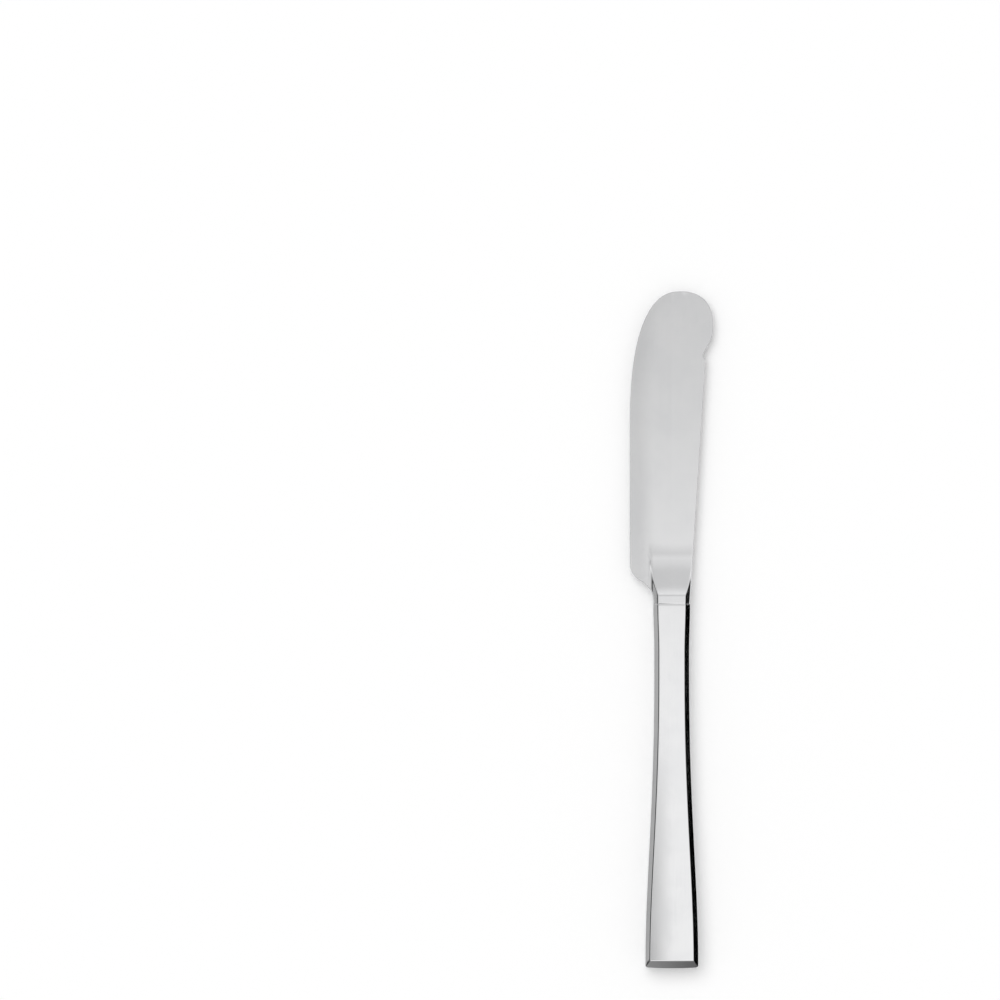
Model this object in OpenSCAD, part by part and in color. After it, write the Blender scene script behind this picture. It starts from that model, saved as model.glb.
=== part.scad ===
// Butter knife with a hollow handle: a forged blade whose tang is cemented into a
// handle of two pressed shells, brazed together along their edges.
// Each piece is drawn along Y with the butt at zero and the tip at knife_l, about the
// plane halfway through its thickness. The cutting edge is on the -X side and the
// notched back on the +X side. lay_flat() then rests the knife on the back of its
// handle, with the middle of its length at the origin.

/* [Knife] */
// Length from the butt to the tip
knife_l = 170; // [160:1:180]
// Length of the handle, from the butt to the joint with the blade
handle_l = 91.5; // [86:0.5:96]

/* [Handle] */
// Width at the butt
butt_w = 13.4; // [12:0.1:15]
// Width at the neck, the narrowest place
neck_w = 8.9; // [8.4:0.1:9.4]
// Width at the mouth, where the blade goes in
mouth_w = 9.4; // [9:0.1:10.2]
// Thickness at the butt
butt_t = 6.6; // [6:0.1:7.6]
// Thickness at the mouth
mouth_t = 5.4; // [5:0.1:6]
// Distance from the butt at which the handle begins to widen
flare_l = 77; // [64:1:79]
// Length at the butt over which the width stays the same
butt_straight_l = 2; // [1.2:0.1:4]
// Distance from the mouth over which the neck widens again
mouth_flare_l = 12; // [8:1:16]
// Width of the bevels along both sides, seen from the front
bevel_w = 1.35; // [0.9:0.05:1.6]
// Depth of all bevels, through the thickness
bevel_h = 1.35; // [0.9:0.05:1.6]
// Length of the bevel across the butt
butt_bevel_l = 2.4; // [1.6:0.1:2.8]
// Radius of the two corners of the butt
butt_corner_r = 0.9; // [0.6:0.05:1.2]
// How far the middle of the butt stands out
butt_bow = 0.25; // [0.1:0.05:0.6]
// Thickness of the pressed shells
shell_t = 0.7; // [0.5:0.05:0.8]
// Thickness of the brazed seam between the shells
seam_t = 0.12; // [0.08:0.01:0.2]

/* [Blade outline] */
// Distance from the knife's axis to the cutting edge
edge_reach = 10.45; // [9:0.05:12]
// Distance from the axis to the outermost point of the bulb behind the tip
bulb_reach = 10.45; // [9.8:0.05:12]
// Distance from the axis to the widest point of the straight back
spine_reach = 8.6; // [7.8:0.1:9.2]
// Distance from the axis to the tip
tip_offset = 2.5; // [1:0.1:4]
// Length of the curved belly between the tip and the straight edge
belly_l = 35; // [28:0.5:42]
// Length of the bulb between the tip and its outermost point
bulb_l = 7.9; // [6.5:0.1:9]
// Radius of the turn from the bulb's outermost point to its flank
bulb_turn_r = 5.5; // [4:0.1:6.5]
// Angle between the bulb's flank and the axis
bulb_flank_deg = 27.5; // [20:0.5:34]
// Distance from the tip to the deepest point of the notch
notch_from_tip = 16.1; // [15:0.1:18]
// Depth of the notch below the back
notch_depth = 0.63; // [0.4:0.01:0.9]
// Radius of the bottom of the notch
notch_r = 0.9; // [0.7:0.05:1.2]
// Radius of the corner between the notch and the back
back_corner_r = 0.9; // [0.7:0.05:1.2]
// Radius of the heel's corner
heel_r = 4.6; // [2:0.1:5.4]
// Straight side of the bolster, between the joint and the curve of the shoulder
bolster_side_l = 0.7; // [0.4:0.1:3]

/* [Blade thickness] */
// Thickness of the blade at the joint
heel_t = 2; // [1.6:0.1:2.4]
// Thickness at the tip
tip_t = 1.2; // [1:0.1:1.6]
// Thickness of the blunt cutting edge
edge_t = 0.5; // [0.4:0.05:0.8]
// Width of the stretch that thins towards the edge
grind_w = 5.4; // [3:0.1:5.6]
// Length of the bolster at its full thickness
bolster_l = 2.2; // [1:0.1:4]
// Length over which the bolster thins into the blade
bolster_fade_l = 10; // [6:0.5:14]

/* [Tang] */
// Length of the spigot that fills the mouth of the handle
spigot_l = 5; // [3:0.5:8]
// Length of the tang, from the joint to its end
tang_l = 60; // [45:1:70]
// Width of the tang at the spigot
tang_w = 4.2; // [3.4:0.1:4.6]
// Width of the tang at its end
tang_end_w = 2.8; // [2.2:0.1:3.2]
// Thickness of the tang
tang_t = 2.6; // [2:0.1:2.8]
// Number of notches along each side of the tang
tang_notches = 3; // [1:1:5]
// Depth of these notches
tang_notch_depth = 0.6; // [0.3:0.05:0.8]
// Gap around the spigot, the filler and the tang
fit_gap = 0.08; // [0.04:0.01:0.15]

/* [Hidden] */
// How far a cutting shape runs past what it cuts
overrun = 1;
// Steps along the handle, along each quarter of the tip, and along each small arc
handle_steps = 24;
tip_steps = 20;
arc_steps = 8;
// Fullness of the curves: 1 or 2 is a plain one, and more is fuller
flare_share = 1.3;
belly_share = 2.5;
bulb_share = 2.2;
// How much of the bolster's drop its fading curve dips under the blade's face
fade_dip_share = 0.06;
// How much of the tang's length its notches take up, and how much of a notch is flat
notch_run_share = 0.6;
notch_flat_share = 0.5;
// Tilt of the handle's back against the knife's middle plane
level_deg = atan2((butt_t - mouth_t) / 2, handle_l);
// Radius of the curve that cuts the shoulder free, centred on the line of the edge
shoulder_r = edge_reach - mouth_w / 2;
shoulder_at = [-edge_reach, handle_l + bolster_side_l];
// The heel's corner touches the line of the edge and the curve of the shoulder
heel_at = [heel_r - edge_reach, shoulder_at.y + sqrt(pow(shoulder_r + heel_r, 2) - pow(heel_r, 2))];
heel_deg = acos(heel_r / (shoulder_r + heel_r));
// The notch and the corner behind it touch each other at this angle
notch_deg = acos(1 - notch_depth / (notch_r + back_corner_r));
notch_at = [spine_reach - notch_depth + notch_r, knife_l - notch_from_tip];
corner_at = notch_at - (notch_r + back_corner_r) * [cos(notch_deg), sin(notch_deg)];
// The back is a straight line from the mouth's edge to that corner, leaning by this angle
spine_run = corner_at - [mouth_w / 2, handle_l];
spine_deg = atan2(spine_run.x, spine_run.y) + asin(back_corner_r / norm(spine_run));
// The flank runs straight from the notch to the turn of the bulb
flank_from = notch_at + notch_r * [-cos(bulb_flank_deg), sin(bulb_flank_deg)];
turn_x = bulb_reach - bulb_turn_r;
flank_run_x = turn_x + bulb_turn_r * cos(bulb_flank_deg) - flank_from.x;
turn_y = flank_from.y + flank_run_x / tan(bulb_flank_deg) + bulb_turn_r * sin(bulb_flank_deg);

// Points along an arc
function arc(at, r, from, to) =
    [for (i = [0:arc_steps]) let (a = from + (to - from) * i / arc_steps) at + r * [cos(a), sin(a)]];

// Points along a full quarter of the tip, from its side to the tip or back
function quarter(at, reach, length, share, from, to) =
    [for (i = [0:tip_steps])
        let (a = from + (to - from) * i / tip_steps)
        at + [sign(reach) * abs(reach) * pow(cos(a), 2 / share), length * pow(sin(a), 2 / share)]];

// An eased step from 0 to 1
function ease(u) = let (v = min(max(u, 0), 1)) v * v * (3 - 2 * v);

// Half the handle's width and thickness at distance s from the butt
function half_w(s) = (neck_w
    + (butt_w - neck_w) * ease(pow(max(flare_l - s, 0) / (flare_l - butt_straight_l), flare_share))
    + (mouth_w - neck_w) * ease((s - handle_l + mouth_flare_l) / mouth_flare_l)) / 2;
function half_t(s) = butt_t / 2 - s * tan(level_deg);

// How far a bevel's two edges move when its section is drawn in by 1 all round
function bevel_creep(run, rise) = (norm([run, rise]) - rise) / run;

// The eight corners of the handle's section at s, drawn in by d all round, with its
// bevels carried on past the front and back faces, which are cut flat later
function section(s, d) =
    let (
        x = half_w(s) - d,
        z = half_t(s) - d + overrun,
        face_x = half_w(s) - bevel_w - d * bevel_creep(bevel_h, bevel_w) - overrun * bevel_w / bevel_h,
        side_z = half_t(s) - bevel_h - d * bevel_creep(bevel_w, bevel_h)
    )
    [[x, -side_z], [x, side_z], [face_x, z], [-face_x, z],
     [-x, side_z], [-x, -side_z], [-face_x, -z], [face_x, -z]];

// A solid carried through the handle's sections, from one distance to another
module handle_loft(d, from, to) {
    corners = len(section(0, 0));
    stations = [for (i = [0:handle_steps]) from + (to - from) * i / handle_steps];
    points = [for (s = stations) for (p = section(s, d)) [p.x, s, p.y]];
    sides = [for (i = [0:handle_steps - 1]) for (j = [0:corners - 1])
        let (a = i * corners, k = (j + 1) % corners)
        [a + j, a + k, a + corners + k, a + corners + j]];
    first = [for (j = [corners - 1:-1:0]) j];
    last = [for (j = [0:corners - 1]) handle_steps * corners + j];
    polyhedron(points, concat(sides, [first, last]), convexity = 4);
}

// A shape seen from the side, with Y to the right and Z up, as wide as asked
module across_x(width) rotate([90, 0, 90]) linear_extrude(width, center = true) children();

// A shape seen from the front, as thick as asked
module through_z(thickness) linear_extrude(thickness, center = true) children();

// The handle's outer form, drawn in by d all round, up to a distance from the butt:
// the bevelled sections, cut flat by the front and back faces and bevelled at the butt
module handle_form(d, to) {
    start = d > 0 ? butt_bow + d : 0;
    slope = bevel_h / butt_bevel_l;
    edge_z = butt_t / 2 - bevel_h - d * bevel_creep(butt_bevel_l, bevel_h);
    face_y = (butt_t / 2 - d - edge_z + d * slope) / (slope + tan(level_deg));
    upper = [[start, edge_z + (start - d) * slope], [face_y, half_t(face_y) - d], [to, half_t(to) - d]];
    intersection() {
        handle_loft(d, -overrun, to + overrun);
        across_x(butt_w + overrun) polygon(mirrored(upper));
        if (d == 0) through_z(butt_t + overrun) butt_plan();
    }
}

// The upper line of an outline, joined to the same line turned over
function mirrored(upper) = concat(upper, [for (i = [len(upper) - 1:-1:0]) [upper[i].x, -upper[i].y]]);

// The butt seen from the front: a slightly bowed end with two rounded corners, from
// which the outline opens to both sides, clear of the rest of the handle
module butt_plan() {
    corner = [butt_w / 2 - butt_corner_r, butt_corner_r + butt_bow * pow(1 - 2 * butt_corner_r / butt_w, 2)];
    bow = [for (i = [1 - arc_steps:arc_steps - 1])
        let (x = corner.x * i / arc_steps) [x, butt_bow * pow(2 * x / butt_w, 2)]];
    polygon(concat(
        arc([-corner.x, corner.y], butt_corner_r, 180, 270),
        bow,
        arc(corner, butt_corner_r, 270, 360),
        [[butt_w, butt_w], [butt_w, handle_l + overrun], [-butt_w, handle_l + overrun], [-butt_w, butt_w]]));
}

// The outline of the blade and bolster, from the joint up the back and down the edge
module blade_plan() polygon(concat(
    [[mouth_w / 2, handle_l]],
    arc(corner_at, back_corner_r, -spine_deg, notch_deg),
    arc(notch_at, notch_r, 180 + notch_deg, 180 - bulb_flank_deg),
    arc([turn_x, turn_y], bulb_turn_r, -bulb_flank_deg, 0),
    quarter([tip_offset, knife_l - bulb_l], bulb_reach - tip_offset, bulb_l, bulb_share, 0, 90),
    quarter([tip_offset, knife_l - belly_l], -edge_reach - tip_offset, belly_l, belly_share, 90, 0),
    arc(heel_at, heel_r, 180, 180 + heel_deg),
    arc(shoulder_at, shoulder_r, heel_deg, 0),
    [[-mouth_w / 2, handle_l]]));

// The blade's plate: its outline, thinning towards the tip and towards the edge
module plate() {
    width = edge_reach + bulb_reach + 2 * overrun;
    intersection() {
        through_z(butt_t) blade_plan();
        across_x(2 * width) polygon([
            [handle_l, -heel_t / 2], [knife_l, -tip_t / 2], [knife_l, tip_t / 2], [handle_l, heel_t / 2]]);
        translate([0, handle_l, 0]) rotate([-90, 0, 0]) linear_extrude(knife_l - handle_l) polygon([
            [width, -heel_t / 2], [width, heel_t / 2],
            [grind_w - edge_reach, heel_t / 2], [-edge_reach, edge_t / 2],
            [-edge_reach, -edge_t / 2], [grind_w - edge_reach, -heel_t / 2]]);
    }
}

// The bolster: the handle's section carried on past the joint and thinned into the plate
module bolster() {
    full = handle_l + bolster_l;
    drop = half_t(full) - heel_t / 2;
    fade = [for (i = [0:arc_steps]) let (u = i / arc_steps)
        [full + bolster_fade_l * u, heel_t / 2 + drop * (pow(1 - u, 2) - fade_dip_share * u)]];
    intersection() {
        translate([0, handle_l, 0]) rotate([-90, 0, 0]) linear_extrude(bolster_l + bolster_fade_l)
            polygon(section(handle_l, 0));
        across_x(butt_w) polygon(mirrored(concat([[handle_l, half_t(handle_l)]], fade)));
        through_z(butt_t) blade_plan();
    }
}

// The tang, made larger by a gap all round: a tapered bar notched along both sides
module tang(gap) {
    root = handle_l - spigot_l + overrun;
    end = handle_l - tang_l - gap;
    pitch = (tang_l - spigot_l) * notch_run_share / tang_notches;
    first = handle_l - tang_l + (tang_l - spigot_l) * (1 - notch_run_share) / 2;
    side = concat(
        [[tang_end_w / 2, end]],
        [for (i = [0:tang_notches - 1]) let (y = first + pitch * i) each [
            [tang_half_w(y), y],
            [tang_half_w(y) - tang_notch_depth, y + pitch * (1 - notch_flat_share) / 4],
            [tang_half_w(y) - tang_notch_depth, y + pitch * (1 + notch_flat_share) / 4],
            [tang_half_w(y + pitch / 2), y + pitch / 2]]],
        [[tang_half_w(root), root]]);
    through_z(tang_t + 2 * gap) polygon(concat(
        [for (p = side) [p.x + gap, p.y]],
        [for (i = [len(side) - 1:-1:0]) [-side[i].x - gap, side[i].y]]));
}

// Half the tang's width at distance s from the butt
function tang_half_w(s) =
    (tang_end_w + (tang_w - tang_end_w) * (s - handle_l + tang_l) / (tang_l - spigot_l)) / 2;

// The spigot: the end of the handle's inside, smaller by the gap
module spigot() intersection() {
    handle_form(shell_t + fit_gap, handle_l + overrun);
    translate([-butt_w / 2, handle_l - spigot_l, -butt_t / 2]) cube([butt_w, spigot_l + 2 * overrun, butt_t]);
}

// Both shells and the seam in one, with the inside cut out
module handle_wall() difference() {
    handle_form(0, handle_l);
    handle_form(shell_t, handle_l + overrun);
}

// A slab as wide as the handle between two heights
module layer(from, to) translate([-butt_w, -overrun, from]) cube([2 * butt_w, handle_l + 2 * overrun, to - from]);

// Rests the knife on the back of its handle
module lay_flat() translate([0, -knife_l / 2, butt_t / 2 * cos(level_deg)]) rotate([-level_deg, 0, 0]) children();

// The forged blade: plate, bolster, spigot and tang in one piece of steel
module blade() color("silver") lay_flat() {
    plate();
    bolster();
    spigot();
    tang(0);
}

module handle_front_shell() color("gainsboro") lay_flat() intersection() {
    handle_wall();
    layer(seam_t / 2, butt_t);
}

module handle_back_shell() color("lightgray") lay_flat() intersection() {
    handle_wall();
    layer(-butt_t, -seam_t / 2);
}

module seam_solder() color("darkgray") lay_flat() intersection() {
    handle_wall();
    layer(-seam_t / 2, seam_t / 2);
}

// Cement that fills the handle from the butt to the spigot, around the tang
module handle_filler() color("tan") lay_flat() difference() {
    handle_form(shell_t + fit_gap, handle_l - spigot_l - fit_gap);
    tang(fit_gap);
}

blade();
handle_front_shell();
handle_back_shell();
seam_solder();
handle_filler();
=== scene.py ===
# %% [markdown]
# This lesson builds a butter knife in polished steel. The imported solids are the fixed
# frame: every piece below is drawn around them, in metres and in the same place. The
# dressed knife must not grow past the frame's own box.
# %% Load the frame
from math import atan, atan2, acos, asin, cos, degrees, hypot, pi, radians, sin, sqrt, tan

import bmesh
import bpy
import numpy as np
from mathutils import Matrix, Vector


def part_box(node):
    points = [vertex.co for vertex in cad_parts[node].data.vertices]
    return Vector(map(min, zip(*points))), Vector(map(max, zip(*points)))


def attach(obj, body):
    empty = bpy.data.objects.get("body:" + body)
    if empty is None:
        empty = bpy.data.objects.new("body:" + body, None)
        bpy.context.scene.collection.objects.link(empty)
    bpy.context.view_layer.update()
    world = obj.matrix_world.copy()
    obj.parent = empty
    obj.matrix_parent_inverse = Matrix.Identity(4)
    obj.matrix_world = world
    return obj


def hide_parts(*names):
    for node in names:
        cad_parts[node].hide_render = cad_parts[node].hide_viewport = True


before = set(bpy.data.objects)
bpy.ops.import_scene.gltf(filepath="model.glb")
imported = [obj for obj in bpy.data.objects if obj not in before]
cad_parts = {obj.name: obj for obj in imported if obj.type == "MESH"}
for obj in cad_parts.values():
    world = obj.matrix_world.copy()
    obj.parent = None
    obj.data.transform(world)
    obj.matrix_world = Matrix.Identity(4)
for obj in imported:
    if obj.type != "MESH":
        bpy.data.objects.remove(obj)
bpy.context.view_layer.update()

# %% [markdown]
# A cutler's drawing gives a knife in millimetres, so each size is written as a number
# of them. The reaches of the blade and the width of the butt come from the frame. The
# others are the drawing's own values, and the printed lengths show that they agree.
# %% Sizes of the whole knife
MM = 0.001
knife_l = 170 * MM
handle_l = 91.5 * MM
blade_low, blade_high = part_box("blade")
shell_low, shell_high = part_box("handle_front_shell")
edge_reach = -blade_low.x
bulb_reach = blade_high.x
butt_w = shell_high.x - shell_low.x
neck_w = 8.9 * MM
mouth_w = 9.4 * MM
butt_t = 6.6 * MM
mouth_t = 5.4 * MM
level = atan((butt_t - mouth_t) / 2 / handle_l)
print("handle", handle_l, "in the frame", round(shell_high.y - shell_low.y, 5))

# %% [markdown]
# The real knife lies on the flat back of its handle, which tapers, so the whole knife
# leans by less than half a degree. It is easier to draw each piece level, with x across,
# s along from the butt and z from the middle plane, and to turn the points at the end.
# The turn goes into the mesh, so that every finished object stays at the origin.
# %% Lay the points flat
def lay_flat(x, s, z):
    """Turns points about the butt by the handle's lean, then lowers its back to the floor:
    y is s cos + z sin less half the length, and the height is z cos - s sin plus half the butt."""
    y = s * cos(level) + z * sin(level) - knife_l / 2
    height = z * cos(level) - s * sin(level) + butt_t / 2 * cos(level)
    return np.stack(np.broadcast_arrays(x, y, height), axis=-1).reshape(-1, 3)


# %% [markdown]
# A surface here is a grid of points, so its faces are the cells of a grid of vertex
# numbers. A few helpers are enough for the whole knife: the cells of a grid, a ribbon
# between two rows, a mesh with its object, and a weld that closes seams and poles. A
# closed mesh has a volume, and the sign of that volume tells whether its faces point
# outwards. A bad edge is one that has no second face, or one whose two faces are turned
# against each other.
# %% Faces of a grid
def cells(index):
    """The four-sided faces between neighbouring rows and columns of vertex numbers."""
    corners = [index[:-1, :-1], index[1:, :-1], index[1:, 1:], index[:-1, 1:]]
    return np.stack(corners, axis=-1).reshape(-1, 4)


def strip(first, second):
    """The faces of a ribbon between two rows of vertex numbers."""
    return cells(np.stack([first, second]))


def outward(points, faces):
    """The same faces, turned to point outwards: only then is the sum of their triangles' triple
    products, which is six times the closed mesh's volume, above zero."""
    a, b, c, d = (points[faces[:, k]] for k in range(4))
    products = a * (np.cross(b, c) + np.cross(c, d))
    return faces if products.sum() > 0 else faces[:, ::-1]


# %% Meshes, objects and welded pieces
WELD = 0.0005 * MM
SHARP = radians(35)


def plain_mesh(name, points, faces):
    """A mesh of points and of the vertex numbers of its faces."""
    mesh = bpy.data.meshes.new(name)
    mesh.from_pydata(np.asarray(points).tolist(), [], np.asarray(faces).tolist())
    return mesh


def placed(name, data):
    """An object of a mesh, a light or a camera, in the scene and at the origin."""
    made = bpy.data.objects.new(name, data)
    bpy.context.scene.collection.objects.link(made)
    return made


def make_piece(name, points, faces, edge_mask):
    """One smooth, closed mesh object, with a mask of its rounded edges."""
    mesh = plain_mesh(name, points, outward(points, faces))
    mask = mesh.attributes.new("edge_mask", "FLOAT", "POINT")
    mask.data.foreach_set("value", np.asarray(edge_mask, np.float32))
    welded = bmesh.new()
    welded.from_mesh(mesh)
    bmesh.ops.remove_doubles(welded, verts=welded.verts, dist=WELD)
    welded.to_mesh(mesh)
    bad_edges = sum(1 for edge in welded.edges if not edge.is_contiguous)
    volume = welded.calc_volume()
    welded.free()
    mesh.shade_smooth()
    mesh.set_sharp_from_angle(angle=SHARP)
    print(name, len(mesh.polygons), "faces,", bad_edges, "bad edges,", round(volume / MM**3), "cubic mm")
    return placed(name, mesh)


# %% [markdown]
# The handle flares from its narrow neck to the butt along an eased curve, and opens a
# little again at the mouth, where the blade goes in. Widths are therefore functions of
# the distance s from the butt. Its thickness falls in a straight line.
# %% Width and thickness along the handle
flare_l = 77 * MM
butt_straight_l = 2 * MM
mouth_flare_l = 12 * MM
flare_power = 1.3


def ease(share):
    """An eased step, 3 v v - 2 v v v, with v the share held between 0 and 1."""
    v = np.clip(share, 0, 1)
    return v * v * (3 - 2 * v)


def half_width(s):
    """Half the neck's width, plus an eased flare to the butt and an eased flare to the mouth."""
    to_butt = ease((np.maximum(flare_l - s, 0) / (flare_l - butt_straight_l)) ** flare_power)
    to_mouth = ease((s - handle_l + mouth_flare_l) / mouth_flare_l)
    return (neck_w + (butt_w - neck_w) * to_butt + (mouth_w - neck_w) * to_mouth) / 2


def half_thickness(s):
    """Half the butt's thickness, less the lean times the distance."""
    return butt_t / 2 - s * tan(level)


print("half widths in mm at butt, neck and mouth:",
      [round(half_width(s) / MM, 2) for s in (0, flare_l, handle_l)])

# %% [markdown]
# Cut the handle across and its front half shows three straight lines: a side wall, a
# bevel and the flat face. A polishing wheel rounds the two edges between them, and
# leans a little on the bevel's upper fifth, which is why the photograph shows a dark
# line there. So the profile is a list of points with a true arc at each edge and a
# gentle one in the bevel, and close neighbours beside each arc keep the flats flat
# under smooth shading.
# %% Profile of the front half
bevel_w = 1.35 * MM
bevel_h = 1.35 * MM
butt_bevel_l, butt_lean = 2.4 * MM, 0.25 * MM
edge_r = 0.36 * MM
buffed_l, buffed_turn, bend_r = 0.36 * MM, radians(4), 4.5 * MM
seam_t = 0.12 * MM
seam_r = 0.035 * MM
beside = 0.05 * MM
arc_count, bend_count, seam_arc_count, run_count = 8, 5, 2, 3


def arc_between(corner, heading, leaving, radius, count):
    """Points of the arc that touches both lines through a corner: it starts a tangent length
    before the corner and turns by the angle between the two unit directions."""
    corner, heading, leaving = (np.array(v, float) for v in (corner, heading, leaving))
    turn = acos(heading @ leaving)
    tangent = radius * tan(turn / 2)
    inward = (leaving - heading * (heading @ leaving)) / sin(turn)
    angle = np.linspace(0, turn, count + 1)[:, None]
    return corner - tangent * heading + radius * (np.sin(angle) * heading + (1 - np.cos(angle)) * inward)


bevel_way = np.array([bevel_w, bevel_h]) / hypot(bevel_w, bevel_h)
bevel_slope = bevel_h / bevel_w
buffed_angle = atan(bevel_slope) - buffed_turn
buffed_way = np.array([cos(buffed_angle), sin(buffed_angle)])
face_corner = np.array([bevel_w, bevel_h])
bend_corner = face_corner - buffed_l * buffed_way
wall_corner = np.array([0, bend_corner[1] - bend_corner[0] * bevel_slope])
lower_arc = arc_between(wall_corner, (0, 1), bevel_way, edge_r, arc_count)
bend_arc = arc_between(bend_corner, bevel_way, buffed_way, bend_r, bend_count)
upper_arc = arc_between(face_corner, buffed_way, (1, 0), edge_r, arc_count)
seam_arc = arc_between((0, 0), (-1, 0), (0, 1), seam_r, seam_arc_count)
bevel_from, bevel_to = lower_arc[-1] + beside * bevel_way, bend_arc[0] - beside * bevel_way
bevel_run = np.vstack([np.linspace(bevel_from, bevel_to, run_count), bend_arc])
wall_top = lower_arc[0] - (0, beside)
face_rim = upper_arc[-1] + (beside, 0)
print("the buffed part lifts the wall's top edge by", round(wall_corner[1] / MM, 3), "mm")

# %% [markdown]
# Each profile point holds how far it is drawn in from the outline, whether it hangs on
# the seam (0) or on the top of the wall (1), and how far it rises from there. The wall
# then stretches with the handle's thickness while the bevel keeps its size. A fourth
# column marks the rounded edges, which get rubbed in use.
# %% The profile in columns
wall_shares, seam_rub = np.array([0.03, 0.25, 0.5, 0.75]), 0.4
wall_points = np.zeros((len(wall_shares), 2))
stretches = [seam_arc, wall_points, wall_top[None], lower_arc, bevel_run, upper_arc, face_rim[None]]
stretch_rubs = [seam_rub, 0, 0, 1, 0, 1, 0]
outer_inset, outer_rise = np.vstack(stretches).T
outer_edge = np.repeat(stretch_rubs, [len(stretch) for stretch in stretches])
above_wall = len(outer_inset) - len(seam_arc) - len(wall_shares)
outer_hang = np.concatenate([np.zeros(len(seam_arc)), wall_shares, np.ones(above_wall)])
print("profile of", len(outer_inset), "points, drawn in by up to", round(outer_inset.max() / MM, 2), "mm")

# %% [markdown]
# The profile is carried down the left side, around the butt and up the right side. The
# butt is slightly bowed outside and straight where its bevel meets the face, its wall
# leans in a little and its two corners are rounded. Where the profile is drawn in, the
# corner's radius shrinks by as much, so the bevels of side and butt meet in a mitre that
# is sharp at the face and soft outside, as on the real handle.
# %% Loops around the handle
butt_corner_r = 0.9 * MM
butt_bow = 0.25 * MM
least_corner_r = 0.04 * MM
mouth_ease_l, mouth_row_share = 0.05 * MM, 0.006
side_count, corner_count, end_count = 84, 9, 26
side_share = np.append([0, mouth_ease_l / handle_l], np.linspace(mouth_row_share, 1, side_count - 2))


def handle_loops(inset, hang):
    """x and s of the outline drawn in by each inset: two sides at shares of the way from mouth to
    corner, two quarter ellipses, and the end, which is drawn in by the butt's longer bevel and by
    the lean times the hang, and bowed by the square of the share across, less towards the face."""
    inset, lean = np.asarray(inset)[:, None], butt_lean * np.asarray(hang)[:, None]
    bow = butt_bow * np.clip(1 - inset / bevel_w, 0, 1)
    end_inset = lean + inset * (butt_bevel_l - butt_lean) / bevel_w
    side_r = np.maximum(butt_corner_r - inset, least_corner_r)
    end_r = np.maximum(butt_corner_r - end_inset, least_corner_r)
    corner_x = butt_w / 2 - inset - side_r
    corner_s = bow * (2 * corner_x / butt_w) ** 2 + end_inset + end_r
    side_s = handle_l + (corner_s - handle_l) * side_share
    side_x = half_width(side_s) - inset
    angle = np.linspace(0, pi / 2, corner_count + 2)[1:-1]
    arc_x = corner_x + side_r * np.cos(angle)
    arc_s = corner_s - end_r * np.sin(angle)
    end_x = corner_x * np.linspace(-1, 1, end_count)
    end_s = bow * (2 * end_x / butt_w) ** 2 + end_inset
    x = np.hstack([-side_x, -arc_x, end_x, arc_x[:, ::-1], side_x[:, ::-1]])
    s = np.hstack([side_s, arc_s, end_s, arc_s[:, ::-1], side_s[:, ::-1]])
    return x, s


loop_x, loop_s = handle_loops(outer_inset, outer_hang)
print("loops of", loop_x.shape[1], "points; butt at s =", round(loop_s.min() / MM, 3), "mm")

# %% [markdown]
# The loops climb to the edge of the face, and a fan of rows between the left and the
# right side closes the face. A rolled and polished face is never a perfect plane: it is
# crowned by a few hundredths of a millimetre, and that is what draws a soft gradient of
# light across it. The same function makes the inside of the shell from a plainer
# profile.
# %% Height of the handle's face
crown_h, fan_reach = 0.05 * MM, 7 * MM
# where a wall and a bevel at 45 degrees both move in, their corner sinks by this share of the move
inside_share = sqrt(2) - 1


def crowded(share):
    """Shares drawn towards both ends: half of 1 - cos of pi times the share."""
    return 0.5 - 0.5 * np.cos(pi * share)


def face_height(x, s, crown):
    """Half the thickness, less the crown times the square of the share across the face."""
    return half_thickness(s) - crown * (x / (half_width(s) - bevel_w)) ** 2


# %% Sheet of loops and fan
def handle_sheet(inset, hang, rise, lowered, crown):
    """Points and vertex numbers of the loops and of the fan of rows that closes the face.
    The height is the seam's and the wall top's, mixed by hang, plus the rise, which is
    stretched to end on the crowned face."""
    x, s = handle_loops(inset, hang)
    top = face_height(x, s, crown) - lowered
    wall = half_thickness(s) - bevel_h - lowered * inside_share
    hang, rise = hang[:, None], rise[:, None]
    stretch = np.where(rise > 0, rise / rise.max() * (top - wall), rise)
    z = (1 - hang) * (seam_t / 2 + rise) + hang * (wall + stretch)
    loops = np.arange(x.size).reshape(x.shape)
    middle = slice(side_count - 1, x.shape[1] - side_count + 1)
    rows = slice(0, side_count - 1)
    left_x, left_s = x[-1, rows, None], s[-1, rows, None]
    end_share = (x[-1, middle] - x[-1, middle][0]) / np.ptp(x[-1, middle])
    even_share = crowded(np.linspace(0, 1, len(end_share)))
    near = np.clip(1 - (left_s - s[-1, side_count - 1]) / fan_reach, 0, 1) ** 2
    share = even_share + (end_share - even_share) * near
    fan_x = (left_x - 2 * left_x * share)[:, 1:-1]
    fan_s = (left_s + (s[-1, middle] - s[-1, side_count - 1]) * near)[:, 1:-1]
    fan_z = face_height(fan_x, fan_s, crown) - lowered
    fan = x.size + np.arange(fan_x.size).reshape(fan_x.shape)
    rows_index = np.column_stack([loops[-1, rows], fan, loops[-1, ::-1][rows]])
    grid = np.vstack([rows_index, loops[-1, middle]])
    points = [np.concatenate([a.ravel(), b.ravel()]) for a, b in ((x, fan_x), (s, fan_s), (z, fan_z))]
    return points, loops, grid


def eased_mouth(x, s, z):
    """Draws the last section in a little, so that the joint with the bolster shows as a hairline."""
    at_mouth = np.abs(s - handle_l) < mouth_ease_l / 2
    shrink = np.where(at_mouth, 1 - mouth_ease_l / mouth_w, 1)
    return x * shrink, s, z * shrink


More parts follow.
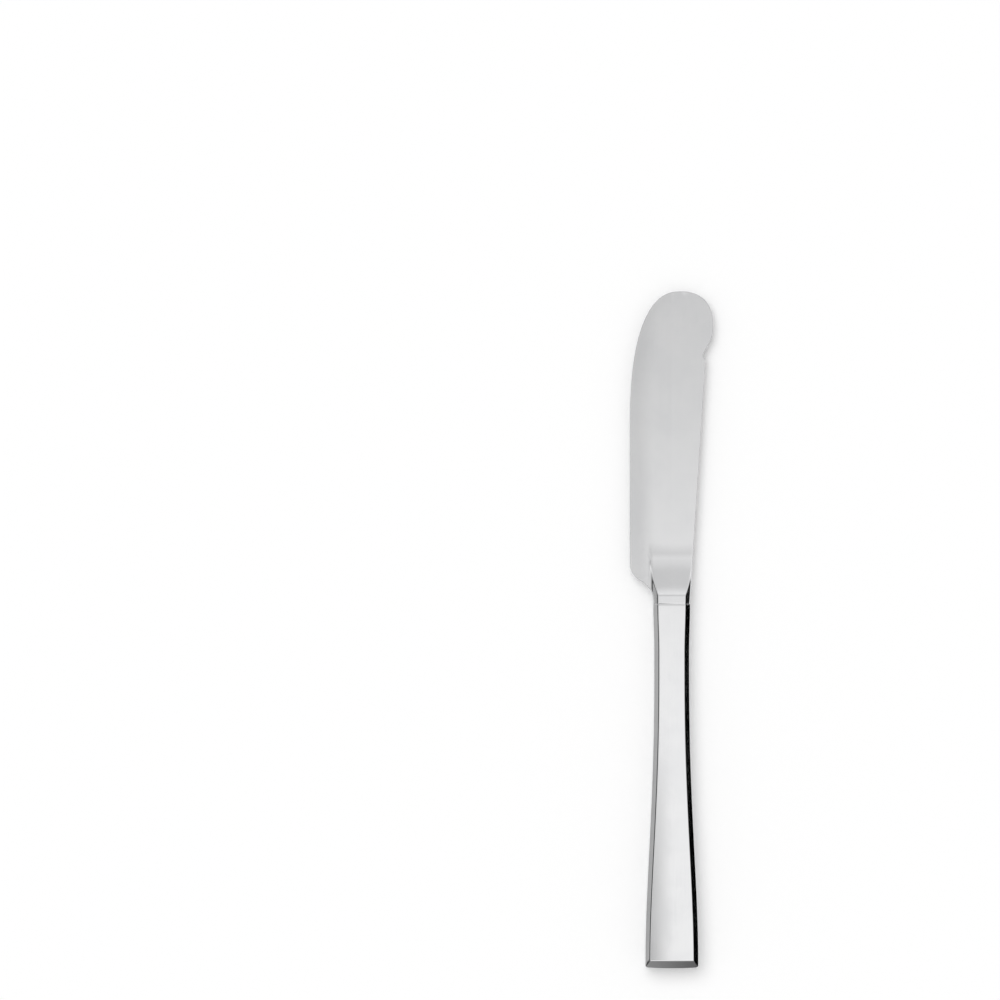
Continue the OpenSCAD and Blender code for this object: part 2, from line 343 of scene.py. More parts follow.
# %% [markdown]
# Hollow handles are pressed from sheet in two halves. Each half is therefore an outer
# sheet, an inner sheet at the wall's thickness, and a narrow land between them along
# the seam and around the mouth. Both sheets have the same grid, so joining them is a
# matter of matching numbers. The back half is the same surface turned over.
# %% Shell from two sheets
shell_t = 0.7 * MM
inner_corner = shell_t * inside_share
inner_path = np.array([[shell_t, 0, 0], [shell_t, 1, 0],
                       [bevel_w + inner_corner, 1, bevel_h - inner_corner],
                       [bevel_w + shell_t, 1, bevel_h - inner_corner]])
inner_step = np.linspace(0, len(inner_path) - 1, len(outer_inset))
inner_inset, inner_hang, inner_rise = (
    np.interp(inner_step, np.arange(len(inner_path)), inner_path[:, k]) for k in range(3))


def handle_shell(name, side):
    """The outer and inner sheets of one half, joined along the seam and the mouth; side is 1
    for the front and -1 for the back."""
    outer, loops, grid = handle_sheet(outer_inset, outer_hang, outer_rise, 0, crown_h)
    inner = handle_sheet(inner_inset, inner_hang, inner_rise, shell_t, 0)[0]
    x, s, z = np.hstack([eased_mouth(*outer), inner])
    points = lay_flat(x, s, side * z)
    count = len(outer[0])
    mouth = np.concatenate([loops[:, 0], grid[0, 1:-1], loops[::-1, -1]])
    sheet = np.vstack([cells(loops), cells(grid)[:, ::-1]])
    faces = np.vstack([sheet, (sheet + count)[:, ::-1], strip(loops[0] + count, loops[0]),
                       strip(mouth, mouth + count)])
    edge = np.append(np.repeat(outer_edge, loops.shape[1]), np.zeros(2 * count - loops.size))
    return make_piece(name, points, faces, edge)


front_shell = handle_shell("handle_front_shell_polished", 1)
back_shell = handle_shell("handle_back_shell_polished", -1)

# %% [markdown]
# The halves are brazed and the joint is filed flush, which leaves a line a tenth of a
# millimetre wide around the handle. It is a flat ribbon, so a ring of six points is
# carried along the same path, a hundredth of a millimetre below the shells' surface, and
# its two ends are capped at the mouth.
# %% Seam ribbon
seam_sunk = 0.012 * MM
seam_inset = np.array([seam_r, seam_sunk, seam_r, shell_t, shell_t, shell_t])
seam_z = np.array([-0.5, 0, 0.5, 0.5, 0, -0.5]) * seam_t


def seam_ribbon(name):
    """A closed ring of six points at each place on the path, and two faces to close each end."""
    x, s = handle_loops(seam_inset, 0 * seam_inset)
    ring = np.arange(x.size).reshape(x.shape)
    halves = [(0, 1, 4, 5), (1, 2, 3, 4)]
    faces = np.vstack([cells(np.vstack([ring, ring[:1]])), ring[halves, -1], ring[halves, 0][:, ::-1]])
    points = lay_flat(x, s, seam_z[:, None])
    return make_piece(name, points, faces, np.zeros(x.size))


seam = seam_ribbon("seam_solder_filed")

# %% [markdown]
# The blade is one forging. Its plan is a chain of arcs and straight lines: a concave
# shoulder and a round heel below the cutting edge, a full belly up to the tip, a bulb,
# a small notch and a straight back. Neither side ever turns back on itself along the
# knife, so each is a function of s, and the surface can be laid between them in rows.
# %% Places of the arcs
tip_x = 2.5 * MM
spine_reach = 8.6 * MM
belly_l, belly_power = 35 * MM, 2.5
bulb_l, bulb_power = 7.9 * MM, 2.2
bulb_turn_r, bulb_flank = 5.5 * MM, radians(27.5)
notch_from_tip, notch_depth, notch_r = 16.1 * MM, 0.63 * MM, 0.9 * MM
back_corner_r = 0.9 * MM
heel_r, bolster_side_l = 4.6 * MM, 0.7 * MM

shoulder_r = edge_reach - mouth_w / 2
shoulder_at = np.array([-edge_reach, handle_l + bolster_side_l])
heel_at = np.array([heel_r - edge_reach, shoulder_at[1] + sqrt((shoulder_r + heel_r) ** 2 - heel_r**2)])
heel_turn = acos(heel_r / (shoulder_r + heel_r))
notch_turn = acos(1 - notch_depth / (notch_r + back_corner_r))
notch_at = np.array([spine_reach - notch_depth + notch_r, knife_l - notch_from_tip])
corner_at = notch_at - (notch_r + back_corner_r) * np.array([cos(notch_turn), sin(notch_turn)])
spine_run = corner_at - (mouth_w / 2, handle_l)
spine_turn = atan2(*spine_run) + asin(back_corner_r / np.hypot(*spine_run))
flank_from = notch_at + notch_r * np.array([-cos(bulb_flank), sin(bulb_flank)])
turn_x = bulb_reach - bulb_turn_r
flank_run = turn_x + bulb_turn_r * cos(bulb_flank) - flank_from[0]
turn_at = np.array([turn_x, flank_from[1] + flank_run / tan(bulb_flank) + bulb_turn_r * sin(bulb_flank)])
print("heel, notch and bulb in mm:", (np.array([heel_at, notch_at, turn_at]) / MM).round(2).tolist())

# %% [markdown]
# A quarter of a superellipse, whose powers are a little over two, is fuller than a
# plain ellipse. It gives the belly its long flat run and its quick turn at the tip.
# %% Both sides of the outline
def arc(centre, radius, start, end, count=60):
    """Points at one radius from the centre, from one angle to another."""
    angle = np.linspace(start, end, count)[:, None]
    return centre + radius * np.hstack([np.cos(angle), np.sin(angle)])


def quarter(side_x, length, power, count=900):
    """From the side to the tip: across by the cosine and along by the sine, each to the power 2 / power."""
    angle = np.linspace(0, pi / 2, count)
    across = tip_x + (side_x - tip_x) * np.cos(angle) ** (2 / power)
    along = knife_l - length + length * np.sin(angle) ** (2 / power)
    across[-1] = tip_x
    return np.column_stack([across, along])


back_side = np.vstack([[[mouth_w / 2, handle_l]],
                       arc(corner_at, back_corner_r, -spine_turn, notch_turn),
                       arc(notch_at, notch_r, pi + notch_turn, pi - bulb_flank),
                       arc(turn_at, bulb_turn_r, -bulb_flank, 0),
                       quarter(bulb_reach, bulb_l, bulb_power)])
edge_side = np.vstack([[[-mouth_w / 2, handle_l]],
                       arc(shoulder_at, shoulder_r, 0, heel_turn),
                       arc(heel_at, heel_r, pi + heel_turn, pi),
                       quarter(-edge_reach, belly_l, belly_power)])
climbs = [bool((np.diff(side[:, 1]) >= -WELD).all()) for side in (edge_side, back_side)]
print("both sides climb all the way:", climbs)

# %% [markdown]
# Rows lie close together where the outline turns quickly and wide apart where it runs
# straight. To place them, a running count of rows is drawn up along the blade, and read
# backwards: the k-th row lies where the count reaches k.
# %% Rows along the blade
row_step, count_steps = 0.6 * MM, 20000
heel_rows, notch_rows, tip_rows = 44, 34, 60
heel_from = shoulder_at[1] - row_step
notch_from, notch_l = corner_at[1] - back_corner_r, 2 * (back_corner_r + notch_r)
along = knife_l - (knife_l - handle_l) * np.linspace(1, 0, count_steps + 1) ** 2
tip_run = 1 - np.sqrt(np.clip((knife_l - along) / belly_l, 0, 1))
row_count = ((along - handle_l) / row_step
             + heel_rows * ease((along - heel_from) / (heel_at[1] - heel_from))
             + notch_rows * ease((along - notch_from) / notch_l)
             + tip_rows * tip_run)
row_s = np.interp(np.linspace(0, row_count[-1], int(row_count[-1]) + 1), row_count, along)
row_s = np.insert(row_s, 1, handle_l + mouth_ease_l)
print(len(row_s), "rows, the closest", round(np.diff(row_s).min() / MM, 4), "mm apart")

# %% [markdown]
# The plate thins towards the tip and, over the last millimetres, towards the cutting
# edge, which on a butter knife stays blunt. The bolster carries the handle's bevelled
# section on and sinks into the plate along a concave curve. Taking the lower of two
# heights, softened where they meet, gives a rounded crest between two slopes, and the
# same done upside down gives the fillet that a forging die leaves at the bolster's foot.
# %% Sizes of plate and bolster
heel_t, tip_t, edge_t = 2 * MM, 1.2 * MM, 0.5 * MM
grind_w = 5.4 * MM
bolster_l, bolster_fade_l, fade_dip = 2.2 * MM, 10 * MM, 0.06
grind_soft, crest_soft, worn_crest_soft, fillet_soft = 0.35 * MM, 0.14 * MM, 0.5 * MM, 0.5 * MM
bend_soft = 0.02 * MM
tip_blend_l, ground_every = 14 * MM, 2
plate_crown = 0.08 * MM


def lower_of(a, b, soft):
    """The smaller of two heights; where they differ by less than soft, a parabola joins them."""
    share = np.clip(0.5 + 0.5 * (b - a) / soft, 0, 1)
    return b + (a - b) * share - soft * share * (1 - share)


# %% Slope from the cutting edge
def ground_height(x, s):
    """A slope that climbs from the cutting edge: the least of edge height plus slope times distance
    over the outline's points from heel to tip, where the edge height grows to the plate's at the tip."""
    slope = (heel_t - edge_t) / 2 / grind_w
    ground = edge_side[edge_side[:, 1] >= heel_at[1]][::ground_every]
    to_tip = ease((ground[:, 1] - knife_l + tip_blend_l) / tip_blend_l)
    edge_height = (edge_t + (tip_t - edge_t) * to_tip) / 2
    apart = np.hypot(x[..., None] - ground[:, 0], s[..., None] - ground[:, 1])
    return np.minimum((edge_height + slope * apart).min(axis=-1), edge_t / 2 + slope * (x + edge_reach))


# %% Height of the blade's face
def blade_height(x, s):
    """The plate's softened lower of taper and grind, less a crown, and the bolster's softened lower
    of its fading top and its bevels, joined by a soft fillet."""
    taper = (heel_t + (tip_t - heel_t) * (s - handle_l) / (knife_l - handle_l)) / 2
    crown = plate_crown * ((x - tip_x / 2) / edge_reach) ** 2
    plate = lower_of(taper, ground_height(x, s), grind_soft) - crown
    full = handle_l + bolster_l
    drop = half_thickness(full) - heel_t / 2
    run = (s - full) / bolster_fade_l
    faded = np.clip(run, 0, 1)
    sunk = heel_t / 2 + drop * ((1 - faded) ** 2 - fade_dip * faded - np.maximum(run - 1, 0))
    top = np.where(run < 0, half_thickness(s), sunk)
    top = top - crown_h * (x / (mouth_w / 2 - bevel_w)) ** 2 * ease(1 - run)
    inset = mouth_w / 2 - np.abs(x)
    wall = half_thickness(handle_l) - bevel_h
    bevel = wall + (wall_corner[1] + inset * bevel_slope) * (1 - crown_h / bevel_h)
    buffed = half_thickness(handle_l) - crown_h - (bevel_w - inset) * tan(buffed_angle)
    flank = lower_of(bevel, buffed, bend_soft)
    bolster = lower_of(top, flank, crest_soft + (worn_crest_soft - crest_soft) * ease(run))
    return -lower_of(-plate, -bolster, fillet_soft)


heights = blade_height(np.zeros(3), np.array([handle_l, heel_at[1], knife_l - tip_blend_l]))
print("heights in mm at the joint, the heel and before the tip:", (heights / MM).round(2).tolist())

# %% [markdown]
# Each row runs from the cutting edge to the back. Its two ends are rims that curve from
# the outline, at the middle plane, up to the face. A superellipse draws both kinds of
# rim: with a high power it is a square wall with a small round, as on the bolster, and
# with a low one it is the round nose of a butter knife's edge. The back face is the
# same surface turned over, and the joint is closed by a wall.
# %% Rims and rows
rim_w = 0.32 * MM
rim_count, across_count = 9, 116
rim_power, bolster_rim_power, rim_change_l = 2.6, 6, 12 * MM
crowding_share = 0.3


def blade_rim(side, inward_sign):
    """x, s and height of a rim: drawn in along the outline's normal by 1 - cos, and raised by sin
    times the face's height, each to the power 2 / power, which falls from the bolster's to the blade's."""
    x, s = np.interp(row_s, side[:, 1], side[:, 0])[:, None], row_s[:, None]
    slope_x, slope_s = np.gradient(x, axis=0), np.gradient(s, axis=0)
    slope_x[-1], slope_s[-1] = inward_sign, 0
    normal_x, normal_s = inward_sign * np.stack([slope_s, -slope_x]) / np.hypot(slope_x, slope_s)
    power = rim_power + (bolster_rim_power - rim_power) * ease(1 - (s - handle_l) / rim_change_l)
    angle = np.linspace(0, pi / 2, rim_count + 1)
    drawn_in = rim_w * (1 - np.cos(angle).clip(0) ** (2 / power))
    top = blade_height(x + rim_w * normal_x, np.maximum(s + rim_w * normal_s, handle_l))
    height = top * np.sin(angle) ** (2 / power)
    return x + drawn_in * normal_x, np.maximum(s + drawn_in * normal_s, handle_l), height


edge_rim, back_rim = blade_rim(edge_side, 1), blade_rim(back_side, -1)
even = np.linspace(0, 1, across_count + 2)[1:-1]
across = even + crowding_share * (crowded(even) - even)
inner_x = edge_rim[0][:, -1:] + (back_rim[0][:, -1:] - edge_rim[0][:, -1:]) * across
inner_s = edge_rim[1][:, -1:] + (back_rim[1][:, -1:] - edge_rim[1][:, -1:]) * across
face_x = np.hstack([edge_rim[0], inner_x, back_rim[0][:, ::-1]])
face_s = np.hstack([edge_rim[1], inner_s, back_rim[1][:, ::-1]])
face_z = np.hstack([edge_rim[2], blade_height(inner_x, inner_s), back_rim[2][:, ::-1]])
face_x, face_s, face_z = eased_mouth(face_x, face_s, face_z)
print("blade face of", face_x.shape, "points, up to", round(face_z.max() / MM, 3), "mm high")

# %% [markdown]
# Inside the handle the same forging goes on as a spigot that fills the mouth and a
# notched tang that the cement grips. Nobody sees it until the handle comes apart, but a
# blade without it would be a different part. A ring of eight corners is carried along
# it, and the ring's size is a function of s.
# %% Sizes of spigot and tang
spigot_l, tang_l = 5 * MM, 60 * MM
tang_w, tang_end_w, tang_t = 4.2 * MM, 2.8 * MM, 2.6 * MM
tang_notches, tang_notch_depth, tang_corner = 3, 0.6 * MM, 0.25 * MM
notch_run_share, notch_cut_share, notch_slope_share = 0.6, 0.5, 0.125
fit_gap = 0.08 * MM
spigot_inset = shell_t + fit_gap
bar_l = tang_l - spigot_l
bar_count, spigot_count = 221, 12
end_corners = [(7, 6, 5, 0), (0, 5, 4, 1), (1, 4, 3, 2)]
upper_corners, lower_corners = [4, 3, 2, 1], [5, 6, 7, 0]


def tang_half_width(s):
    """A straight taper, less the depth of three notches whose sides slope."""
    along_bar = (s - handle_l + tang_l) / bar_l
    phase = (along_bar - (1 - notch_run_share) / 2) * tang_notches / notch_run_share
    in_notch = np.where((phase > 0) & (phase < tang_notches), phase % 1, 1)
    notch = np.clip(np.minimum(in_notch, notch_cut_share - in_notch) / notch_slope_share, 0, 1)
    return (tang_end_w + (tang_w - tang_end_w) * along_bar) / 2 - tang_notch_depth * notch


# %% Rings along the tang
def tang_bar():
    """Rings of eight corners, counted up the right side and back down the left, each cut by its own
    corner size, closed by three faces at the tang's end and open at its root in the joint."""
    bar_s = handle_l - tang_l + np.linspace(0, bar_l, bar_count)
    spigot_s = handle_l - spigot_l + np.linspace(0, spigot_l, spigot_count)
    half_w = np.append(tang_half_width(bar_s), half_width(spigot_s) - spigot_inset)
    half_t = np.append(np.full(bar_count, tang_t / 2), half_thickness(spigot_s) - spigot_inset)
    cut = np.repeat([tang_corner, bevel_w - spigot_inset * (1 - inside_share)], [bar_count, spigot_count])
    x = np.stack([half_w, half_w, half_w - cut, cut - half_w, -half_w, -half_w, cut - half_w, half_w - cut])
    z = np.stack([cut - half_t, half_t - cut, half_t, half_t, half_t - cut, cut - half_t, -half_t, -half_t])
    ring = np.arange(x.size).reshape(x.shape)
    faces = np.vstack([cells(np.vstack([ring, ring[:1]])), ring[end_corners, 0]])
    points = lay_flat(x, np.append(bar_s, spigot_s), z)
    return points, faces, points[ring[upper_corners, -1]], points[ring[lower_corners, -1]]


tang_points, tang_faces, root_above, root_below = tang_bar()
tang_y = tang_points[:, 1] / MM
print("tang from y =", round(tang_y.min(), 1), "to", round(tang_y.max(), 1), "mm")

# %% [markdown]
# Front and back share the outline at the middle plane, so the weld closes them. The
# tang's points follow in the same mesh, because it is one piece of steel. The joint's
# wall lies between the outline and the tang's root: each point of the outline is tied to
# the nearest corner of the root. Many points share one corner, and the weld makes
# triangles of the faces between them.
# %% The forged blade
def forged_blade(name):
    """The face and its mirror image, the tang, and a wall from their first rows to its root."""
    count = face_x.size
    front = np.arange(count).reshape(face_x.shape)
    back = front + count
    nearest = np.abs(face_x[0][:, None] - root_above[:, 0]).argmin(axis=1)
    halves = lay_flat(np.append(face_x, face_x), np.append(face_s, face_s), np.append(face_z, -face_z))
    points = np.vstack([halves, root_above[nearest], root_below[nearest], tang_points])
    over = 2 * count + np.arange(len(nearest))
    under = over + len(nearest)
    sides = [[front[0, 0], over[0], under[0], back[0, 0]], [over[-1], front[0, -1], back[0, -1], under[-1]]]
    faces = np.vstack([cells(front), cells(back)[:, ::-1], strip(over, front[0]), strip(back[0], under),
                       sides, tang_faces + under[-1] + 1])
    rim_mask = np.sin(np.linspace(0, pi, rim_count + 1)) ** 2
    row_mask = np.concatenate([rim_mask, np.zeros(across_count), rim_mask[::-1]])
    edge = np.append(np.tile(row_mask, 2 * len(row_s)), np.zeros(len(points) - 2 * count))
    return make_piece(name, points, faces, edge)


blade = forged_blade("blade_forged")

# %% [markdown]
# Steel, braze and cement have different colours but the same kinds of traces: the fine
# lines of the last polishing, a few stray hairlines from the drawer, the faint haze of
# handling, and a rub along the edges. Each trace is a small node group with its own
# inputs, and a finish mixes them in its own measure. Patterns read Object coordinates
# in metres, so a line has the same width on every piece.
# %% Helpers for nodes
node_w, node_h, nodes_in_row = 190, 260, 8


def connect(socket, value):
    """Links a socket to another one, or gives it a plain value."""
    if isinstance(value, bpy.types.NodeSocket):
        socket.id_data.links.new(value, socket)
    else:
        socket.default_value = value


def fill(made, **inputs):
    """Gives a node's inputs, named with underscores for spaces, their values or links."""
    for name, value in inputs.items():
        connect(made.inputs[name.replace("_", " ")], value)


def node(tree, kind, settings=None, **inputs):
    """A shader node whose inputs are numbers, colours or the sockets of other nodes."""
    made = tree.nodes.new("ShaderNode" + kind)
    row, place = divmod(len(tree.nodes), nodes_in_row)
    made.location = (node_w * place, -node_h * row)
    for name, value in (settings or {}).items():
        setattr(made, name, value)
    fill(made, **inputs)
    return made


def math_of(tree, operation, first, second, kind="Math"):
    """One step of arithmetic on two values, or with VectorMath on two vectors."""
    made = node(tree, kind, {"operation": operation})
    connect(made.inputs[0], first)
    connect(made.inputs[1], second)
    return made.outputs[0]


def spread(tree, value, from_low, from_high, low=0.0, high=1.0):
    """A value moved smoothly from one range to another."""
    made = node(tree, "MapRange", {"interpolation_type": "SMOOTHSTEP"}, Value=value,
                From_Min=from_low, From_Max=from_high, To_Min=low, To_Max=high)
    return made.outputs["Result"]


# %% Helpers for patterns
def object_place(tree):
    """A point's Object coordinates, in metres."""
    return node(tree, "TexCoord").outputs["Object"]


def noise(tree, place, scale, detail, roughness=0.5):
    """Cloudy values around a half: scale counts the clouds per metre of place."""
    made = node(tree, "TexNoise", Vector=place, Scale=scale, Detail=detail, Roughness=roughness)
    return made.outputs["Fac"]


def stretched_noise(tree, place, scales, detail, roughness=0.5):
    """Noise with a scale of its own for x, y and z."""
    scale = node(tree, "CombineXYZ", **dict(zip("XYZ", scales))).outputs[0]
    stretched = math_of(tree, "MULTIPLY", place, scale, "VectorMath")
    return noise(tree, stretched, 1.0, detail, roughness)


def new_group(name, output, **inputs):
    """An empty node group with number inputs and one number output."""
    tree = bpy.data.node_groups.new(name, "ShaderNodeTree")
    for label, value in inputs.items():
        tree.interface.new_socket(label, in_out="INPUT", socket_type="NodeSocketFloat").default_value = value
    tree.interface.new_socket(output, in_out="OUTPUT", socket_type="NodeSocketFloat")
    return tree, tree.nodes.new("NodeGroupInput").outputs, tree.nodes.new("NodeGroupOutput").inputs


# %% Group: polishing lines
def polish_lines():
    """Noise on Object coordinates stretched along the knife: Fineness counts lines per metre
    across, and Length says how many times longer than wide they are."""
    tree, given, wanted = new_group("polish_lines", "Lines", Fineness=6000.0, Length=60.0)
    fine = given["Fineness"]
    scales = fine, math_of(tree, "DIVIDE", fine, given["Length"]), fine
    lines = stretched_noise(tree, object_place(tree), scales, detail=2.0, roughness=0.55)
    connect(wanted["Lines"], spread(tree, lines, from_low=0.3, from_high=0.7))
    return tree


# %% Group: stray hairlines
def stray_hairlines():
    """Long noise turned by an angle, of which only the crests are kept: Turn is in radians about
    the vertical, and Rarity is the level that a crest has to reach."""
    hairline_length, crest_soft = 45.0, 0.06
    tree, given, wanted = new_group("stray_hairlines", "Hairlines", Turn=0.3, Fineness=2500.0, Rarity=0.68)
    turned = node(tree, "VectorRotate", {"rotation_type": "Z_AXIS"},
                  Vector=object_place(tree), Angle=given["Turn"]).outputs[0]
    slow = math_of(tree, "DIVIDE", given["Fineness"], hairline_length)
    crests = stretched_noise(tree, turned, (given["Fineness"], slow, slow), detail=1.0)
    above = math_of(tree, "ADD", given["Rarity"], crest_soft)
    connect(wanted["Hairlines"], spread(tree, crests, given["Rarity"], above))
    return tree


# %% Group: handling haze
def handling_haze():
    """Soft noise, finer within coarser: Blotches counts the coarse ones per metre."""
    tree, given, wanted = new_group("handling_haze", "Haze", Blotches=90.0)
    wide = noise(tree, object_place(tree), given["Blotches"], detail=3.0, roughness=0.6)
    connect(wanted["Haze"], spread(tree, wide, from_low=0.35, from_high=0.7))
    return tree


# %% Group: rubbed edges
def rubbed_edges():
    """The mesh's own edge mask, broken up by noise: Patches counts the breaks per metre."""
    tree, given, wanted = new_group("rubbed_edges", "Rub", Patches=700.0)
    mask = node(tree, "Attribute", {"attribute_name": "edge_mask"}).outputs["Fac"]
    patches = noise(tree, object_place(tree), given["Patches"], detail=2.0)
    broken = spread(tree, patches, from_low=0.4, from_high=0.65, low=0.25)
    connect(wanted["Rub"], math_of(tree, "MULTIPLY", mask, broken))
    return tree


TRACES = {make.__name__: make() for make in (polish_lines, stray_hairlines, handling_haze, rubbed_edges)}
print("shared traces:", sorted(TRACES))

# %% [markdown]
# Polished stainless steel has no colour of its own beyond a pale grey: what one sees is
# its reflection. So the metal is a Principled BSDF with Metallic at 1, and the traces
# mostly change its roughness, the way real scratches do. The bump is measured in
# thousandths of a millimetre, so that the face still mirrors like a face.
# %% Helpers for finishes
MICRON = 1e-6


def trace(tree, name, **inputs):
    """A shared trace placed in a material with its own values; gives its output."""
    return node(tree, "Group", {"node_tree": TRACES[name]}, **inputs).outputs[0]


def weighted(tree, base, *parts):
    """A base value plus each part times its weight."""
    total = base
    for part, weight in parts:
        total = math_of(tree, "ADD", math_of(tree, "MULTIPLY", part, weight), total)
    return total


def two_tone(tree, share, first, second):
    """A colour between two, by a share, from the sockets that a Mix node keeps for colours."""
    share_socket, first_socket, second_socket, colour_socket = 0, 6, 7, 2
    made = node(tree, "Mix", {"data_type": "RGBA"})
    connect(made.inputs[share_socket], share)
    connect(made.inputs[first_socket], (*first, 1))
    connect(made.inputs[second_socket], (*second, 1))
    return made.outputs[colour_socket]


def new_finish(name, metallic):
    """A material with a lone Principled BSDF."""
    material = bpy.data.materials.new(name)
    material.use_nodes = True
    shader = material.node_tree.nodes["Principled BSDF"]
    fill(shader, Metallic=metallic)
    return material, material.node_tree, shader


def dress(tree, shader, colour, roughness, height):
    """Gives a shader its colour, its roughness and a bump, whose height is in microns."""
    bump = node(tree, "Bump", Strength=1.0, Distance=MICRON, Height=height)
    fill(shader, Base_Color=colour, Roughness=roughness, Normal=bump.outputs[0])


# %% Finish: polished steel
def polished_steel(name, bright, dull, roughness, lines, wave):
    """Mirror steel: two near tones by haze, roughness raised by each trace, and a bump of polishing
    lines and of the slow waves that a buffing wheel leaves."""
    material, tree, shader = new_finish(name, 1.0)
    fine = trace(tree, "polish_lines", Fineness=lines, Length=70.0)
    hair = math_of(tree, "MAXIMUM", trace(tree, "stray_hairlines", Turn=0.35, Fineness=3200.0, Rarity=0.74),
                  trace(tree, "stray_hairlines", Turn=-0.6, Fineness=2700.0, Rarity=0.76))
    haze = trace(tree, "handling_haze", Blotches=95.0)
    rub = trace(tree, "rubbed_edges", Patches=650.0)
    slow = noise(tree, object_place(tree), scale=80.0, detail=1.0)
    tone = weighted(tree, 0.0, (haze, 0.5), (fine, 0.14), (hair, 0.12))
    rough = weighted(tree, roughness, (haze, 0.045), (fine, 0.02), (hair, 0.035), (rub, 0.05))
    height = weighted(tree, 0.0, (slow, wave), (fine, 0.06), (hair, -0.05))
    dress(tree, shader, two_tone(tree, tone, bright, dull), rough, height)
    return material


handle_steel = polished_steel("handle_steel", (0.85, 0.85, 0.855), (0.79, 0.793, 0.805), 0.055, 5200.0, 9.0)
blade_steel = polished_steel("blade_steel", (0.80, 0.80, 0.805), (0.735, 0.738, 0.75), 0.075, 4200.0, 6.0)

# %% [markdown]
# The filed braze is softer than the steel beside it and a little warmer. The cement in
# the handle is a grey-brown mass with sand in it. It is hidden, but it is the frame's own
# solid and gets its own finish, so that the handle looks right when it is opened.
# %% Finishes: filed braze and cement
def filed_braze(name):
    """Satin metal: short file marks over a warm grey."""
    material, tree, shader = new_finish(name, 1.0)
    fine = trace(tree, "polish_lines", Fineness=9000.0, Length=12.0)
    haze = trace(tree, "handling_haze", Blotches=400.0)
    colour = two_tone(tree, haze, (0.66, 0.62, 0.54), (0.52, 0.49, 0.43))
    rough = weighted(tree, 0.28, (fine, 0.12), (haze, 0.08))
    dress(tree, shader, colour, rough, weighted(tree, 0.0, (fine, 2.0)))
    return material


def sandy_cement(name):
    """Matte mass: grains of sand from a cell pattern, over a mottled ground."""
    material, tree, shader = new_finish(name, 0.0)
    cells_of_sand = node(tree, "TexVoronoi", Vector=object_place(tree), Scale=3000.0)
    grains = cells_of_sand.outputs["Distance"]
    haze = trace(tree, "handling_haze", Blotches=300.0)
    tone = weighted(tree, 0.0, (haze, 0.6), (grains, 0.5))
    colour = two_tone(tree, tone, (0.42, 0.38, 0.32), (0.29, 0.26, 0.22))
    height = weighted(tree, 0.0, (grains, 60.0), (haze, 40.0))
    dress(tree, shader, colour, weighted(tree, 0.82, (haze, 0.12)), height)
    return material


braze = filed_braze("braze")
cement = sandy_cement("cement")

# %% [markdown]
# Each polished piece stands for its solid in the frame, rides on the only body there is
# and prints the name of the finish it takes. The cement keeps its solid and only
# changes its material.
# %% Pieces on the frame
for piece, stands_for, finish, slot in (
    (blade, "blade", blade_steel, "blade_steel"),
    (front_shell, "handle_front_shell", handle_steel, "handle_steel"),
    (back_shell, "handle_back_shell", handle_steel, "handle_steel"),
    (seam, "seam_solder", braze, "braze"),
):
    piece.data.materials.append(finish)
    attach(piece, "root")
    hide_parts(stands_for)
    print(piece.name, "stands for", stands_for, "in", slot)

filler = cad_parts["handle_filler"]
filler.data.materials.clear()
filler.data.materials.append(cement)

# %% [markdown]
# The photograph is a cut-out on white. A pale floor under an even light comes close to
# white by itself, and the small rest is added only for the rays that go to the camera or
# by way of a mirror. The light that falls on the knife stays plain, and the knife's own
# shadow stays on the floor.
# %% White floor
floor_half, floor_drop, floor_tone = 4.0, 0.02 * MM, 0.92
floor_corners = [(x * floor_half, y * floor_half, -floor_drop)
                 for x, y in ((-1, -1), (1, -1), (1, 1), (-1, 1))]
floor = placed("floor", plain_mesh("floor", floor_corners, [(0, 1, 2, 3)]))


def seen_directly(tree):
    """1 for rays from the camera, off a mirror or through glass, else 0."""
    rays = node(tree, "LightPath").outputs
    mirror = math_of(tree, "MAXIMUM", rays["Is Glossy Ray"], rays["Is Transmission Ray"])
    return math_of(tree, "MAXIMUM", rays["Is Camera Ray"], mirror)


def white_floor():
    """A diffuse floor, plus what is missing to white for the rays that see it directly."""
    material, tree, shader = new_finish("white_floor", 0.0)
    missing = math_of(tree, "MULTIPLY", seen_directly(tree), 1 - floor_tone)
    fill(shader, Base_Color=(floor_tone, floor_tone, floor_tone, 1), Roughness=1.0,
         Specular_IOR_Level=0.0, Emission_Color=(1, 1, 1, 1), Emission_Strength=missing)
    return material


floor.data.materials.append(white_floor())
print("floor of", 2 * floor_half, "m, tone", floor_tone)

# %% [markdown]
# A white world gives most of the light, from all sides, and one soft sun gives the
# shadow its side. Together they light a level surface to just its own colour. The world
# is white to the camera and to mirrors.
# %% World and sun
world_share = 0.62
sun_height, sun_side, sun_spread = radians(62), radians(125), radians(50)
world = bpy.data.worlds.new("white_studio")
bpy.context.scene.world = world
world.use_nodes = True
sky = world.node_tree
rest = math_of(sky, "MULTIPLY", seen_directly(sky), 1 - world_share)
fill(sky.nodes["Background"], Color=(1, 1, 1, 1), Strength=math_of(sky, "ADD", rest, world_share))

sun_light = bpy.data.lights.new("soft_sun", "SUN")
sun_light.energy = (1 - world_share) * pi / sin(sun_height)
sun_light.angle = sun_spread
sun = placed("soft_sun", sun_light)
sun.rotation_euler = (0, pi / 2 - sun_height, sun_side)
sun.visible_glossy = False
print("sun strength", round(sun_light.energy, 2))
